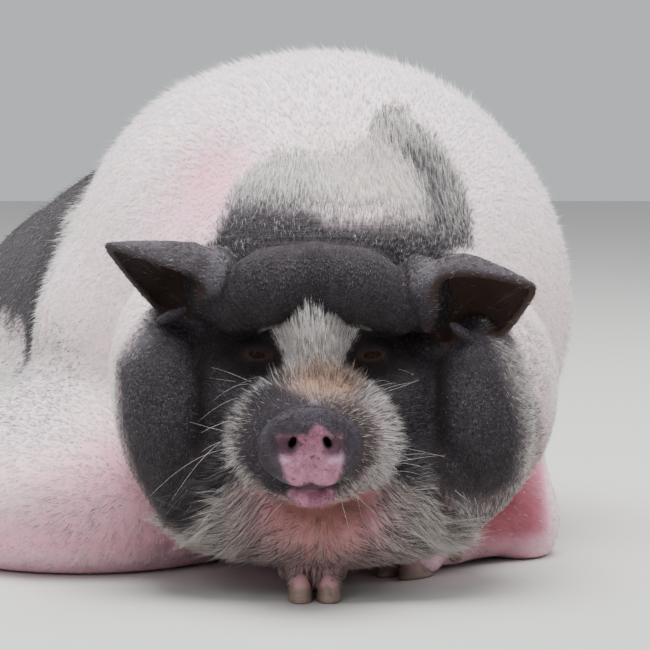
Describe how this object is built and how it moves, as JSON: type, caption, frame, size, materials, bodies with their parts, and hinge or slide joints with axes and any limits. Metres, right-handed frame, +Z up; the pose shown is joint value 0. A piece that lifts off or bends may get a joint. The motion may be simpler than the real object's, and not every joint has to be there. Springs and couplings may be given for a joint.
{
  "type": "lying pig model",
  "caption": "Life-size still model of a fat pot-bellied pig lying on its chest, head low, with jowls, small ears, folded legs and a hanging tail.",
  "frame": {"origin": "on the floor under the middle of the chest, on the flat of the belly", "axes": "-Y the way the head faces, +X towards the animal's own left side, +Z up"},
  "size_m": [0.7226, 1.0967, 0.5004],
  "materials": {
    "skin_pink": "soft pinkish skin under sparse white bristles, matt",
    "skin_black": "black wrinkled skin under short dark grey bristles, matt",
    "skin_snout": "bare violet-grey and pink skin of the snout, slightly moist",
    "horn": "pale tan horn, worn matt",
    "eye": "dark brown eye, wet gloss"
  },
  "bodies": {
    "root": {"head": "skin_black", "snout": "skin_snout", "chin": "skin_pink", "neck": "skin_pink", "trunk": "skin_pink", "tail": "skin_black", "ear_left": "skin_black", "ear_right": "skin_black", "eye_left": "eye", "eye_right": "eye", "fore_leg_left": "skin_pink", "fore_leg_right": "skin_pink", "fore_foot_left": "skin_pink", "fore_foot_right": "skin_pink", "hind_leg_left": "skin_pink", "hind_leg_right": "skin_pink", "hind_foot_left": "skin_pink", "hind_foot_right": "skin_pink", "fore_left_claw_outer": "horn", "fore_left_dew_claw_outer": "horn", "fore_left_claw_inner": "horn", "fore_left_dew_claw_inner": "horn", "fore_right_claw_outer": "horn", "fore_right_dew_claw_outer": "horn", "fore_right_claw_inner": "horn", "fore_right_dew_claw_inner": "horn", "hind_left_claw_outer": "horn", "hind_left_dew_claw_outer": "horn", "hind_left_claw_inner": "horn", "hind_left_dew_claw_inner": "horn", "hind_right_claw_outer": "horn", "hind_right_dew_claw_outer": "horn", "hind_right_claw_inner": "horn", "hind_right_dew_claw_inner": "horn"}
  },
  "joints": []
}
